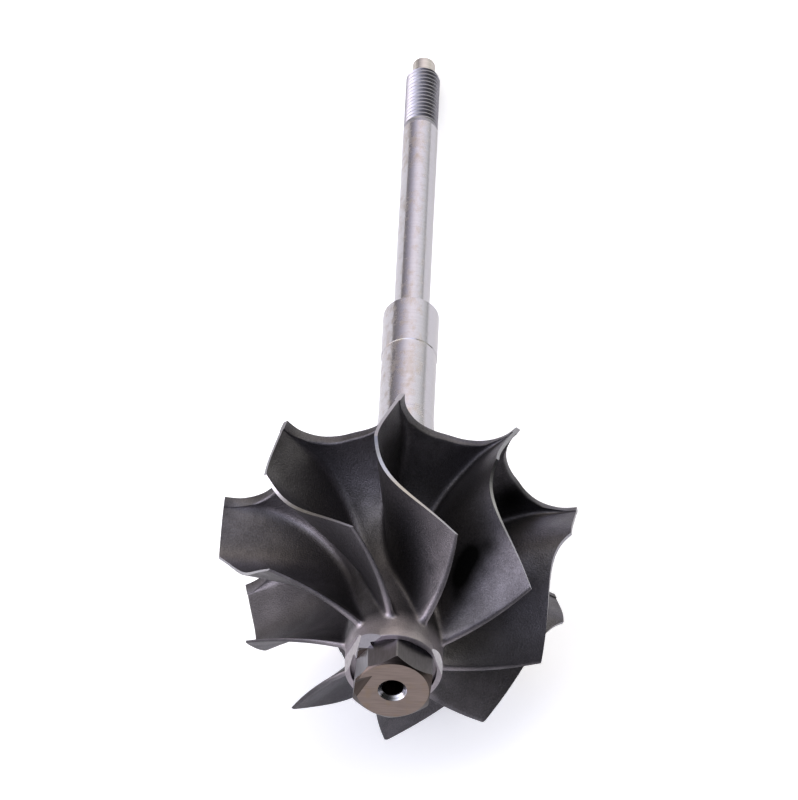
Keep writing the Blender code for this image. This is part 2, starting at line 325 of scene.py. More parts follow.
class WheelShape:
    """The wheel's lines in millimetres: hub, free edge, thickness, fillet and scallops."""

    def __init__(self, sizes):
        self.tip = sizes.tip_radius / MM
        self.rim = sizes.rim / MM
        self.scallop = sizes.scallop / MM
        self.corner = sizes.scallop_corner / MM
        self.finger = sizes.finger / MM
        self.edge = sizes.edge / MM
        self.root = sizes.root / MM
        self.fillet = sizes.fillet / MM
        self.boss = sizes.boss / MM
        self.root_end = -sizes.root_end / MM
        exit_tip = (sizes.exit_radius / MM, -sizes.exit_depth / MM)
        inlet_tip = (self.tip, -sizes.inlet_width / MM)
        self.flare = cubic(((FLARE_START, -self.rim), *FLARE), CURVE_POINTS)
        ends = [NECK, (self.boss, self.root_end)]
        line = np.concatenate([[(self.tip, -self.rim)], self.flare, ends])
        self.hub = even_steps(line, sizes.rows)
        self.free = even_steps(cubic((inlet_tip, *FREE_EDGE, exit_tip), CURVE_POINTS), sizes.rows)
        inward = self.tip - self.hub[:, 0]
        self.ramp = smooth(inward, 0.0, ROOT_RAMP)
        # The fillet starts with what a finger leaves free beside its blade
        half = self.edge / 2 * np.hypot(1.0, self.tip * blade_slope(-self.rim))
        least = self.finger - FINGER_ROUND - half
        self.round = least + (self.fillet - least) * smooth(inward, *FILLET_GROWS)
        self.round *= 1.0 - FILLET_LOSS * smooth(-self.hub[:, 1], *LOSS_DEPTHS)

    def hub_station(self, radius):
        """Station of the disc's front and the flared hub at a radius."""
        return np.interp(radius, self.flare[::-1, 0], self.flare[::-1, 1])

    def half_angle(self, radius, station, height):
        """Half the blade's width as an angle: it thins from root to free edge, and to the outlet."""
        thick = self.edge + (self.root - self.edge) * self.ramp[:, None] * (1.0 - height) ** TAPER
        thick = thick * (1.0 - OUTLET_THINNING * smooth(-station, *THINNING_DEPTHS))
        return thick / 2 * np.hypot(1.0, radius * blade_slope(station)) / radius

    def side(self, hand):
        """One side of a blade: rows from inlet to outlet, columns from free edge to hub.

        The last columns are the fillet, a parabola from the blade's side to the hub.
        """
        span = np.hypot(*(self.free - self.hub).T)
        low = (self.round / span)[:, None]
        height = low + (1.0 - low) * np.linspace(1.0, 0.0, SIDE_STEPS + 1)[None, :]
        points, _ = self.side_points(height, hand)
        foot, foot_angle = self.side_points(np.zeros_like(low), hand)
        radius, station = self.hub[:, :1], self.hub[:, 1:]
        out = polar(radius, foot_angle + hand * self.round[:, None] / radius, station)
        t = (np.arange(1, FILLET_STEPS + 1) / FILLET_STEPS)[None, :, None]
        start = points[:, -1:, :]
        bend = (1 - t) ** 2 * start + 2 * t * (1 - t) * foot + t * t * out
        return np.concatenate([points, bend], 1)

    def side_points(self, height, hand):
        """Points of a blade's side at heights from 0 on the hub to 1 on the free edge."""
        radius = self.hub[:, :1] + (self.free - self.hub)[:, :1] * height
        station = self.hub[:, 1:] + (self.free - self.hub)[:, 1:] * height
        angle = blade_turn(station) + hand * self.half_angle(radius, station, height)
        return polar(radius, angle, station), angle

    def outline(self, share, inset):
        """Scallop between two fingers: radius and angle for shares 0 to 1 of its length.

        It runs down the straight side of a finger, round a quarter circle and along the
        floor, and back up the next finger. The inset moves it into the metal.
        """
        near = np.minimum(share, 1.0 - share) * 2.0
        straight = self.tip - self.scallop - self.corner
        arc = math.pi / 2 * self.corner
        floor = self.scallop * PITCH / 2 - self.finger - self.corner
        run = near * (straight + arc + floor)
        turn = np.clip((run - straight) / arc, 0.0, 1.0) * math.pi / 2
        along = np.maximum(run - straight - arc, 0.0)
        width = self.finger + self.corner * (1 - np.cos(turn)) + along - inset * np.cos(turn)
        rise = self.corner * (1 - np.sin(turn)) + np.maximum(straight - run, 0.0) - inset * np.sin(turn)
        radius = self.scallop + rise
        angle = width / radius
        return radius, np.where(share <= 0.5, angle, PITCH - angle)

    def inset(self, share):
        """Edge rounding of the disc: small on a finger, wider along the scallop's floor."""
        near = np.minimum(share, 1.0 - share)
        return FINGER_ROUND + FLOOR_ROUND * smooth(near, 0.12, 0.3)

    def floor(self):
        """Hub between two blades: scalloped rows at the rim that become circles inside."""
        share = np.linspace(0.0, 1.0, FLOOR_STEPS + 1)[None, :]
        radius_0, angle_0 = self.outline(share, self.inset(share))
        g = np.clip((self.tip - self.hub[:, :1]) / (self.tip - INNER_R), 0.0, 1.0)
        radius = np.where(g < 1.0, radius_0 * (1 - g) + INNER_R * g, self.hub[:, :1])
        own = self.side_points(np.zeros_like(g), 1)[1] - blade_turn(self.hub[:, 1:])
        own = own + self.round[:, None] / self.hub[:, :1]
        inner = np.argmax(g[:, 0] >= 1.0)
        first = np.where(g < 1.0, own[inner], own)
        circle = first + (PITCH - 2 * first) * share
        angle = angle_0 * (1 - g) + circle * g
        miss = own - angle[:, :1]
        angle = angle + miss * (1 - smooth(share, 0.0, 0.25))
        angle = angle - miss * (1 - smooth(1 - share, 0.0, 0.25))
        station = np.where(g < 1.0, self.hub_station(radius), self.hub[:, 1:])
        return polar(radius, angle + blade_turn(station), station)

    def wall(self, share):
        """Rim of the disc, from the front over two rounded edges to the back plane."""
        round_front = self.inset(share)
        round_back = np.maximum(round_front, BACK_ROUND)
        front = self.hub_station(self.outline(share, round_front)[0])
        turns = np.linspace(0.0, math.pi / 2, 4)
        rows = [(round_front * (1 - math.sin(a)), front + round_front * (1 - math.cos(a))) for a in turns]
        rows += [(round_back * (1 - math.cos(a)), round_back * (math.sin(a) - 1)) for a in turns]
        grid = []
        for inset, station in rows:
            radius, angle = self.outline(share, inset)
            grid.append(polar(radius, angle + blade_turn(station), station))
        return np.stack(grid)

    def prow(self, left, right):
        """Rounded outlet edge of a blade, and the apron that carries its fillet round it.

        Across the edge a point goes from the left side to the right one as sin(a), and
        forward as cos(a), further forward and less slanted towards the hub.
        """
        radius = (np.hypot(left[:, 0], left[:, 2]) + np.hypot(right[:, 0], right[:, 2])) / 2
        station = (left[:, 1] + right[:, 1]) / 2
        right_angle = np.arctan2(right[:, 0], right[:, 2])
        half = (right_angle - np.arctan2(left[:, 0], left[:, 2])) / 2
        middle = right_angle - half - blade_turn(station)
        oblique = 1.0 + (radius * blade_slope(station)) ** 2
        reach = EDGE_ROUND * np.minimum(half, half[SIDE_STEPS]) * radius / oblique
        t = np.clip(np.arange(len(radius)) - SIDE_STEPS, 0, None) / FILLET_STEPS
        reach = reach * (1 - t) + t * t * (self.round[-1] + APRON_REACH) + t * (1 - t) * APRON_SWELL
        a = np.linspace(-math.pi / 2, math.pi / 2, PROW_STEPS + 1)[None, :]
        ahead = station[:, None] - reach[:, None] * np.cos(a)
        leant = blade_turn(station[:, None] - (reach * (1 - APRON_TWIST * t))[:, None] * np.cos(a))
        angle = leant + middle[:, None] + half[:, None] * np.sin(a)
        points = polar(radius[:, None], angle, ahead)
        points[:, 0], points[:, -1] = left, right
        return points


def spin(points, angle):
    """Turn points about the rotor's axis, clockwise as seen from the nose."""
    c, s = math.cos(angle), math.sin(angle)
    x, y, z = points[..., 0], points[..., 1], points[..., 2]
    return np.stack([x * c + z * s, y, z * c - x * s], -1)


def wheel_skin(sizes, join):
    """The casting behind the boss: nine blades, hub, scalloped disc and back face."""
    shape = WheelShape(sizes)
    left, right = shape.side(-1), shape.side(1)
    floor = shape.floor()
    floor[:, 0] = right[:, -1]
    floor[:, -1] = spin(left[:, -1], PITCH)
    share = np.linspace(0.0, 1.0, FLOOR_STEPS + 1)
    wall = shape.wall(share)
    wall[0] = floor[0]
    heel = np.concatenate([right[0], wall[1:, 0]])
    toe = np.concatenate([left[0], spin(wall[1:, -1], -PITCH)])
    prow = shape.prow(left[-1], right[-1])
    skin = Skin()
    rim_ring, boss_ring = [], []
    for k in range(BLADES):
        a = PITCH * k
        skin.grid(spin(left, a))
        skin.grid(spin(right, a))
        skin.grid(spin(np.stack([left[:, 0], right[:, 0]], 1), a), 1)
        skin.grid(spin(np.stack([toe, heel], 1), a), 1)
        skin.grid(spin(prow, a))
        skin.grid(spin(np.stack([prow[0], np.repeat(prow[0, :1], PROW_STEPS + 1, 0)]), a), 1)
        skin.grid(spin(floor, a))
        skin.grid(spin(wall, a))
        rim_ring.append(spin(wall[-1], a))
        boss_ring.append(spin(np.concatenate([prow[-1], floor[-1, 1:-1]]), a))
    back_face(skin, np.concatenate(rim_ring), share)
    boss_back(skin, shape, np.concatenate(boss_ring), join)
    return skin


def back_face(skin, rim, share, margin=0.04):
    """Flat scalloped back that becomes a low cone, up to the seal boss.

    Its points move from the rim's own angles to even ones, a margin away from each finger.
    """
    first = np.arctan2(rim[:, 0], rim[:, 2])
    even = np.concatenate([PITCH * k + margin + (PITCH - 2 * margin) * share for k in range(BLADES)])
    gap = (first - even + math.pi) % (2 * math.pi) - math.pi
    start = np.hypot(rim[:, 0], rim[:, 2])
    rows = [rim]
    for g in np.linspace(0.0, 1.0, 7)[1:]:
        rows.append(polar(start * (1 - g) + BACK_RIM * g, even + gap * (1 - g), 0.0))
    rows += [polar(radius, even, station) for radius, station in BACK]
    skin.ring(np.stack(rows))
    skin.cap(rows[-1])


def boss_back(skin, shape, start, join):
    """From the wavy line of the blade fillets to the round seam with the boss."""
    angle = np.arctan2(start[:, 0], start[:, 2])
    rows = [start]
    for g in (0.33, 0.66, 1.0):
        rows.append(polar(shape.boss, angle, start[:, 1] * (1 - g) + join * g))
    rows.append(polar(shape.boss - 0.1, angle, join))
    skin.ring(np.stack(rows))
    skin.cap(rows[-1])


# The nose's surfaces

HEX_TURN = math.radians(5.4)             # turn of the hexagon's top corner from the first blade
HEX_SPARE = 0.8                          # the hexagon starts this much too long at both ends
CHAMFER = math.radians(38.0)             # slope of the turned chamfer behind the end face
CHAMFER_WIDTH = 2.4                      # width of the cone that cuts it, past the corners
GUIDE_HALF, GUIDE_OUT = 4.7, 5.0         # half width of a flat's guide, and its reach outwards
SINK_SLOPE = 1.2                         # depth of the countersink for its width
HOLE_DEPTH, DRILL_POINT = 3.8, 4.65      # straight part of the centre hole, and its point
SHARP_NOSE = math.radians(25.0)          # edges past this stay sharp

# Balancing cuts: angle in degrees, and a line of stations and distances from the axis
BOSS_CUTS = (
    (-50.0, ((-28.6, 4.41), (-25.9, 6.84))),
    (-66.0, ((-28.6, 5.2), (-25.2, 6.25))),
    (73.6, ((-28.6, 5.49), (-25.6, 7.02))),
)
NOSE_CUT = (-54.6, ((-32.8, 4.95), (-27.75, 5.03), (-27.7, 6.9)))

# Metal left in the recess beside the ground corner: two angles in degrees, two radii, and how
# far it starts in front of the recess's floor and ends behind the boss's front
BRIDGE_FROM, BRIDGE_TO = -67.0, -33.0
BRIDGE_INNER, BRIDGE_OUTER = 4.7, 6.1
BRIDGE_FOOT, BRIDGE_DROP = 0.2, 0.02


def cutter(name, points, quads):
    """A closed guide for a cut, removed once the cut is made."""
    mesh = bpy.data.meshes.new(name)
    mesh.from_pydata(to_world(np.asarray(points, float)).tolist(), [], quads)
    weld(mesh)
    guide = bpy.data.objects.new(name, mesh)
    bpy.context.scene.collection.objects.link(guide)
    return guide


def ground_guide(name, angle, line):
    """Guide for a ground flat: its line of stations and distances, swept along the tangent."""
    edge = [*line, (line[-1][0], line[-1][1] + GUIDE_OUT), (line[0][0], line[0][1] + GUIDE_OUT)]
    count = len(edge)
    points = np.array([(x, s, d) for x in (-GUIDE_HALF, GUIDE_HALF) for s, d in edge])
    faces = [tuple(range(count)), tuple(range(2 * count - 1, count - 1, -1))]
    for i in range(count):
        j = (i + 1) % count
        faces.append((i, i + count, j + count, j))
    return cutter(name, spin(points, math.radians(angle)), faces)


def bridge_guide(back, front):
    """Guide for the metal left in the recess: a part of a ring between two stations."""
    angle = np.radians(np.linspace(BRIDGE_FROM, BRIDGE_TO, 9))[None, :]
    radius = np.array([BRIDGE_INNER, BRIDGE_OUTER, BRIDGE_OUTER, BRIDGE_INNER])[:, None]
    station = np.array([back, back, front, front])[:, None]
    skin = Skin()
    rows = polar(radius, angle, station)
    skin.grid(np.concatenate([rows, rows[:1]]))
    for side in (rows[:, 0], rows[:, -1]):
        skin.grid(np.stack([side[[0, 1]], side[[3, 2]]]))
    return skin_guide("bridge", skin)


def nick_guide(tip):
    """Guide for a nick in the end face: a wedge that widens and deepens from its apex."""
    apex, upper, lower = np.array([(-2.63, tip, 2.6), (-6.2, tip, 1.4), (-5.3, tip, -2.5)])
    deep = np.array([-6.2, tip + 0.6, -0.2])
    points = [apex, deep, 2 * upper - deep, 2 * lower - deep]
    return cutter("nick", points, [(0, 1, 2), (0, 2, 3), (0, 3, 1), (1, 3, 2)])


def cut(piece, guides, operation='DIFFERENCE'):
    """Cut a piece with closed guides, keep the result and remove the guides."""
    for guide in guides:
        mod = piece.modifiers.new(guide.name, 'BOOLEAN')
        mod.operation = operation
        mod.object = guide
        mod.solver = 'EXACT'
    graph = bpy.context.evaluated_depsgraph_get()
    mesh = bpy.data.meshes.new_from_object(piece.evaluated_get(graph))
    piece.modifiers.clear()
    piece.data = mesh
    for guide in guides:
        bpy.data.objects.remove(guide, do_unlink=True)
    join_flat_faces(mesh)


def join_flat_faces(mesh):
    """Join the slivers that a cut leaves in flat faces."""
    bm = bmesh.new()
    bm.from_mesh(mesh)
    bmesh.ops.dissolve_degenerate(bm, dist=2e-6, edges=bm.edges)
    bmesh.ops.dissolve_limit(bm, angle_limit=math.radians(0.2), verts=bm.verts, edges=bm.edges,
                             delimit={'MATERIAL'})
    bm.to_mesh(mesh)
    bm.free()


def skin_guide(name, skin):
    """A guide made from a skin of grids."""
    return cutter(name, np.concatenate(skin.points), np.concatenate(skin.quads).tolist())


def ground_faces(piece, cuts, finish):
    """Give the faces that lie on a ground flat their own finish."""
    mesh = piece.data
    count = len(mesh.polygons)
    values = {"center": np.zeros(count * 3), "normal": np.zeros(count * 3)}
    for key, value in values.items():
        mesh.polygons.foreach_get(key, value)
    index = np.zeros(count, np.int32)
    mesh.polygons.foreach_get("material_index", index)
    local = (values["center"].reshape(-1, 3) - ORIGIN) @ AXES.T / MM
    facing = values["normal"].reshape(-1, 3) @ AXES.T
    for number, (angle, line) in zip(finish, cuts):
        outward = spin(np.array([0.0, 0.0, 1.0]), math.radians(angle))
        for (s0, d0), (s1, d1) in zip(line[:-1], line[1:]):
            run = math.hypot(s1 - s0, d1 - d0)
            rise, go = (d1 - d0) / run, (s1 - s0) / run
            off = (local @ outward - d0) * go - (local[:, 1] - s0) * rise
            turned_to = facing @ outward * go - facing[:, 1] * rise
            index[(np.abs(off) < 0.01) & (turned_to > 0.99)] = number
    mesh.polygons.foreach_set("material_index", index)


def forward_faces(piece, station, finish):
    """Give the faces that look forward at a station their own finish."""
    for face in piece.data.polygons:
        centre = AXES @ (np.array(face.center) - ORIGIN) / MM
        if abs(centre[1] - station) < 0.005 and AXES[1] @ np.array(face.normal) < -0.99:
            face.material_index = finish


def nose_faces(piece, sizes):
    """Finishes of the nose: 1 end face, 3 chamfer, nick and hole, darkened to paint their shade, 4
    countersink, 5 worn corners.
    """
    worn = math.radians(24)
    tip, sink, hole = -sizes.tip / MM, sizes.sink / MM, sizes.hole / MM
    for face in piece.data.polygons:
        centre = AXES @ (np.array(face.center) - ORIGIN) / MM
        facing = AXES @ np.array(face.normal)
        radius = math.hypot(centre[0], centre[2])
        if facing[1] < -0.99:
            face.material_index = 1 if centre[1] < tip + 0.01 else 3
        elif radius < sink:
            face.material_index = 4 if centre[1] < tip + (sink - hole) * SINK_SLOPE else 3
        elif facing[1] < -0.5:
            face.material_index = 3
        elif abs(facing[1]) < 0.01 and face.material_index == 0:
            swing = (math.atan2(facing[0], facing[2]) - HEX_TURN) % (math.pi / 3)
            if min(swing, math.pi / 3 - swing) < worn:
                face.material_index = 5


def hexagon_skin(sizes):
    """Hexagon with round cast corners: flats, and an arc of circle at each corner."""
    corner = sizes.corner / MM
    centre = (sizes.flats / MM / 2 - corner) / math.cos(math.pi / 6)
    a = np.linspace(-math.pi / 6, math.pi / 6, 6)
    middle = HEX_TURN + np.arange(6)[:, None] * math.pi / 3
    x = (centre * np.sin(middle) + corner * np.sin(middle + a)).ravel()
    z = (centre * np.cos(middle) + corner * np.cos(middle + a)).ravel()
    station = np.array([[HEX_SPARE - sizes.recess / MM], [-sizes.tip / MM - HEX_SPARE]])
    return closed_tube(polar(np.hypot(x, z), np.arctan2(x, z), station))


# The thread's surface

def thread_skin(sizes, start, end, sides=72, rows_a_pitch=14):
    """Rolled thread: its depth follows a rounded wave of station and angle.

    It fades in at the start, and a chamfer takes it down at the end.
    """
    pitch, depth, crest = sizes.pitch / MM, sizes.depth / MM, sizes.thread / MM
    station = np.linspace(start, end, int((end - start) / pitch * rows_a_pitch))[:, None]
    angle = np.linspace(0.0, 2 * math.pi, sides, endpoint=False)[None, :]
    phase = (station / pitch - angle / (2 * math.pi)) % 1.0
    # A little over twice the distance from the groove's middle leaves a narrow flat crest
    wave = smooth(np.abs(phase - 0.5) * 2.15 - 0.02, 0.0, 1.0)
    fade = smooth(station, start + 0.1, start + 1.3)
    chamfer = crest - np.maximum(0.0, station - (end - 0.6)) * 0.9
    radius = np.minimum(crest - depth * (1 - wave) * fade, chamfer)
    return closed_tube(polar(radius, angle, station))


# Finishes

RUST_LEAN = math.radians(20)             # the rust is thickest this far to the left of the top

# Soot and painted shade on the blades: place in the rotor's frame, radius, and strength
SOOT_AND_PAINTED_SHADE = (
    ((4.46, -20.47, 12.02), 0.9, 0.5),   # smudge near the outlet of the top blade
    ((11.9, -15.8, 12.2), 1.1, 0.5),     # five that run together down the second blade: painted shade, not soot
    ((10.1, -15.6, 10.4), 1.9, 0.95),
    ((8.9, -16.3, 8.6), 2.0, 0.95),
    ((8.2, -17.7, 7.0), 1.7, 0.95),
    ((7.9, -19.3, 5.6), 1.1, 0.6),
    ((14.6, -1.9, 7.4), 2.6, 0.95),      # painted shade deep in the channel behind it
)

# Turned and ground finishes: material, colour, share of it, roughness, and what isn't usual
STROKES = {"along": 300.0, "across": 5000.0}
GROUND = {
    "nose": ("rubbed_hexagon", "nose", 1.0, 0.4, {"along": 900.0, "across": 4000.0, "dark": 0.82}),
    "ground": ("ground_edge", "ground", 1.0, 0.3, {}),
    "fresh": ("fresh_facet", "fresh", 1.0, 0.34, STROKES),
    "coarse": ("coarse_facet", "fresh", 0.78, 0.7, {**STROKES, "strength": 0.4}),
    "dull": ("dull_facet", "dull", 1.0, 0.42, STROKES),
    "facet": ("ground_facet", "ground", 1.0, 0.36, STROKES),
    "corner": ("worn_corner", "ground", 0.75, 0.36, {}),
    # chamfer, nick and centre hole: a third of the face's colour, painted shade and painted dark reflection
    "turned": ("turned_chamfer", "face", 0.33, 0.3, {}),
    "sink": ("countersink", "ground", 1.0, 0.26, {"dark": 0.6}),
    "steel": ("shaft_steel", "steel", 1.0, 0.16,
              {"along": 14000.0, "dark": 0.9, "strength": 0.08, "rusty": 0.47}),
    "seal": ("seal_steel", "steel", 0.7, 0.3, {"along": 7000.0}),
    "thread": ("rolled_thread", "thread", 1.0, 0.4, {"along": 5000.0, "rusty": 0.6}),
    "pin": ("pin_steel", "pin", 1.0, 0.35, {"along": 7000.0}),
}


class Nodes:
    """Shorthand for adding and linking shader nodes in one tree."""

    def __init__(self, tree):
        self.tree = tree

    def link(self, output, socket):
        """Link an output to an input."""
        self.tree.links.new(output, socket)

    def add(self, kind, inputs=None, **settings):
        """A node of a kind, with its settings; inputs are values or other nodes' outputs."""
        node = self.tree.nodes.new(kind)
        for key, value in settings.items():
            setattr(node, key, value)
        for key, value in (inputs or {}).items():
            if isinstance(value, bpy.types.NodeSocket):
                self.link(value, node.inputs[key])
            else:
                node.inputs[key].default_value = value
        return node

    def place(self):
        """Object coordinates."""
        return self.add("ShaderNodeTexCoord").outputs["Object"]

    def math(self, operation, a, b=0.0):
        """One arithmetic step."""
        return self.add("ShaderNodeMath", {0: a, 1: b}, operation=operation).outputs[0]

    def vector(self, operation, a, b=(0.0, 0.0, 0.0)):
        """One step with vectors that gives a vector."""
        return self.add("ShaderNodeVectorMath", {0: a, 1: b}, operation=operation).outputs[0]

    def measure(self, operation, a, b):
        """One step with vectors that gives a number."""
        return self.add("ShaderNodeVectorMath", {0: a, 1: b}, operation=operation).outputs["Value"]

    def clamp(self, value):
        """A value kept between 0 and 1."""
        return self.add("ShaderNodeClamp", {0: value}).outputs[0]

    def span(self, value, low, high, first=0.0, last=1.0):
        """A value moved from the range low to high into the range first to last."""
        return self.add("ShaderNodeMapRange", {0: value, 1: low, 2: high, 3: first, 4: last}).outputs[0]

    def noise(self, place, scale, detail, roughness=0.5):
        """Noise from 0 to 1."""
        inputs = {"Vector": place, "Scale": scale, "Detail": detail, "Roughness": roughness}
        return self.add("ShaderNodeTexNoise", inputs).outputs["Fac"]

    def grey(self, value, low=0.3, high=0.7, top=1.0):
        """A grey ramp from 0 at low to top at high."""
        node = self.add("ShaderNodeValToRGB", {0: value})
        for element, position, tone in zip(node.color_ramp.elements, (low, high), (0.0, top)):
            element.position = position
            element.color = (tone, tone, tone, 1.0)
        return node.outputs[0]

    def mix(self, factor, a, b):
        """One colour fading into another."""
        return self.add("ShaderNodeMix", {0: factor, 6: a, 7: b}, data_type='RGBA').outputs[2]

    def group(self, tree, **values):
        """Outputs of a shared group, placed with its own values."""
        node = self.add("ShaderNodeGroup", node_tree=tree)
        for key, value in values.items():
            node.inputs[key].default_value = value
        return node.outputs


def shade(colour, share=1.0):
    """A share of a colour, as a node takes it."""
    return (*(c * share for c in colour), 1.0)


def new_group(name, inputs, outputs):
    """An empty shader group of numbers, and its own inputs and outputs as its nodes see them."""
    tree = bpy.data.node_groups.new(name, "ShaderNodeTree")
    for label, value in inputs.items():
        socket = tree.interface.new_socket(label, in_out='INPUT', socket_type='NodeSocketFloat')
        socket.default_value = value
    for label in outputs:
        tree.interface.new_socket(label, in_out='OUTPUT', socket_type='NodeSocketFloat')
    nodes = Nodes(tree)
    return nodes, nodes.add("NodeGroupInput").outputs, nodes.add("NodeGroupOutput").inputs


def blasted_grain():
    """Group: grain of blasted metal, slow patches of tone, and the height of both."""
    nodes, given, out = new_group("blasted grain", {"Grain": 6500.0, "Patch": 320.0},
                                  ("Tone", "Patches", "Height"))
    fine = nodes.noise(nodes.place(), given["Grain"], 3.0)
    slow = nodes.noise(nodes.place(), given["Patch"], 4.0)
    nodes.link(fine, out["Tone"])
    nodes.link(slow, out["Patches"])
    nodes.link(nodes.math('ADD', fine, nodes.math('MULTIPLY', slow, 0.6)), out["Height"])
    return nodes.tree


def axis_place(nodes, along, across):
    """Object coordinates turned into the rotor's frame, scaled along and across its axis."""
    place = nodes.place()
    parts = {}
    for index, (axis, scale) in enumerate(((AXES[1], along), (AXES[0], across), (AXES[2], across))):
        parts[index] = nodes.math('MULTIPLY', nodes.measure('DOT_PRODUCT', place, tuple(axis)), scale)
    return nodes.add("ShaderNodeCombineXYZ", parts).outputs[0]


def axis_distance(nodes, axis):
    """Distance from the rotor's origin along one axis of its frame, in metres."""
    reach = nodes.measure('DOT_PRODUCT', nodes.place(), tuple(axis))
    return nodes.math('SUBTRACT', reach, float(axis @ ORIGIN))


def turning_marks():
    """Group: fine lines left by turning, grinding or blasting, along or across the axis."""
    nodes, given, out = new_group("turning marks", {"Along": 9000.0, "Across": 30.0}, ("Tone",))
    nodes.link(nodes.noise(axis_place(nodes, given["Along"], given["Across"]), 1.0, 2.0), out["Tone"])
    return nodes.tree


def rust_bloom():
    """Group: soft specks of light rust on the upper left, as a mask from 0 to 1."""
    nodes, given, out = new_group("rust bloom", {"Size": 900.0, "Amount": 0.47}, ("Mask",))
    place = axis_place(nodes, 0.7, 1.0)
    small = nodes.noise(place, given["Size"], 4.0, 0.65)
    wide = nodes.noise(place, 110.0, 1.0)
    both = nodes.math('ADD', small, nodes.math('MULTIPLY', wide, 0.5))
    over = nodes.math('SUBTRACT', both, nodes.math('ADD', given["Amount"], 0.25))
    specks = nodes.clamp(nodes.math('MULTIPLY', over, 3.0))
    nodes.link(nodes.math('MULTIPLY', specks, nodes.span(rust_side(nodes), 0.3, 0.8)), out["Mask"])
    return nodes.tree


def rust_side(nodes):
    """Cosine of the angle from the rusty side, a little to the left of the top, round the axis."""
    parts = {0: axis_distance(nodes, AXES[0]), 2: axis_distance(nodes, AXES[2])}
    way = nodes.vector('NORMALIZE', nodes.add("ShaderNodeCombineXYZ", parts).outputs[0])
    return nodes.measure('DOT_PRODUCT', way, (-math.sin(RUST_LEAN), 0.0, math.cos(RUST_LEAN)))


def toward_nose():
    """Group: 0 on the wheel and 1 on the turned boss, by the station along the axis."""
    nodes, given, out = new_group("toward the nose", {"Start": -22.8, "End": -25.2}, ("Mask",))
    station = nodes.math('MULTIPLY', axis_distance(nodes, AXES[1]), 1 / MM)
    nodes.link(nodes.span(station, given["Start"], given["End"]), out["Mask"])
    return nodes.tree


def soot_and_painted_shade_marks():
    """Group: soft round dark marks, one of soot and the rest painted shade, each fading as exp(-(distance /
    radius) ^ 2) from its place.
    """
    nodes, _, out = new_group("soot", {}, ("Mask",))
    place = nodes.place()
    total = 0.0
    for middle, radius, strength in SOOT_AND_PAINTED_SHADE:
        gap = nodes.measure('DISTANCE', place, tuple(to_world(np.array(middle))[0]))
        near = nodes.math('DIVIDE', gap, radius * MM)
        square = nodes.math('MULTIPLY', near, near)
        fade = nodes.math('EXPONENT', nodes.math('MULTIPLY', square, -1.0))
        total = nodes.math('ADD', total, nodes.math('MULTIPLY', fade, strength))
    nodes.link(nodes.clamp(total), out["Mask"])
    return nodes.tree


def metal(name, base, roughness):
    """A metal material; returns it with its nodes and its shader's inputs."""
    material = bpy.data.materials.new(name)
    material.use_nodes = True
    material.diffuse_color = (*base, 1.0)
    shader = material.node_tree.nodes["Principled BSDF"].inputs
    shader["Base Color"].default_value = (*base, 1.0)
    shader["Metallic"].default_value = 1.0
    shader["Roughness"].default_value = roughness
    return material, Nodes(material.node_tree), shader


def bump(nodes, shader, height, distance, strength):
    """Feed a height into the shader's normal."""
    node = nodes.add("ShaderNodeBump", {"Height": height, "Distance": distance, "Strength": strength})
    nodes.link(node.outputs[0], shader["Normal"])


def cast_material(looks, groups):
    """Blasted casting: dark grey with fine grain, streaks, slow patches, one soot smudge and painted shade,
    rubbed on the boss.
    """
    material, nodes, shader = metal("blasted_casting", looks.cast, 0.46)
    grain = nodes.group(groups["grain"], Grain=4600.0, Patch=330.0)
    lines = nodes.group(groups["marks"], Along=500.0, Across=6500.0)["Tone"]
    tone = nodes.math('MULTIPLY', nodes.grey(grain["Tone"]), 0.4)
    fine = nodes.math('ADD', tone, nodes.math('MULTIPLY', nodes.grey(lines), 0.2))
    patch = nodes.math('MULTIPLY', nodes.grey(grain["Patches"], 0.36, 0.64), 0.4)
    share = nodes.math('ADD', fine, patch)
    wheel = nodes.mix(share, shade(looks.cast_dark), shade(looks.cast))
    boss = nodes.mix(share, shade(looks.boss, 0.7), shade(looks.boss))
    clean = nodes.mix(nodes.group(groups["nose"])["Mask"], wheel, boss)
    # Near-black marks over the casting: one soot smudge near the top blade's outlet, the rest painted shade
    soot = nodes.group(groups["soot"])["Mask"]
    nodes.link(nodes.mix(soot, clean, shade(looks.soot)), shader["Base Color"])
    rough = nodes.math('ADD', nodes.span(share, 0.0, 1.0, 0.54, 0.4), nodes.math('MULTIPLY', soot, 0.3))
    nodes.link(rough, shader["Roughness"])
    bump(nodes, shader, grain["Height"], distance=0.00005, strength=1.0)
    return material


def face_material(looks):
    """Turned end face: tan grey with fine wiping lines from side to side and faint stains."""
    material, nodes, shader = metal("turned_face", looks.face, 0.38)
    place = nodes.place()
    lines = nodes.noise(nodes.vector('MULTIPLY', place, (350.0, 4000.0, 4000.0)), 1.0, 3.0)
    wiped = nodes.mix(nodes.grey(lines), shade(looks.face, 0.84), shade(looks.face, 1.06))
    stain = nodes.grey(nodes.noise(place, 500.0, 2.0), 0.54, 0.7, 0.35)
    nodes.link(nodes.mix(stain, wiped, shade(looks.stain)), shader["Base Color"])
    bump(nodes, shader, lines, distance=0.00002, strength=0.15)
    return material


def ground_material(name, base, roughness, groups, rust, along=9000.0, across=30.0, dark=0.8,
                    strength=0.2, rusty=None):
    """Turned or ground metal with fine marks and, where an amount is given, light rust."""
    material, nodes, shader = metal(name, base, roughness)
    marks = nodes.group(groups["marks"], Along=along, Across=across)["Tone"]
    tone = nodes.mix(nodes.grey(marks), shade(base, dark), shade(base))
    if rusty is not None:
        bloom = nodes.group(groups["rust"], Amount=rusty)["Mask"]
        tone = nodes.mix(nodes.math('MULTIPLY', bloom, 0.55), tone, shade(rust))
        nodes.link(nodes.span(bloom, 0.0, 1.0, roughness, 0.5), shader["Roughness"])
    nodes.link(tone, shader["Base Color"])
    bump(nodes, shader, marks, distance=0.00002, strength=strength)
    return material


_finishes = {}


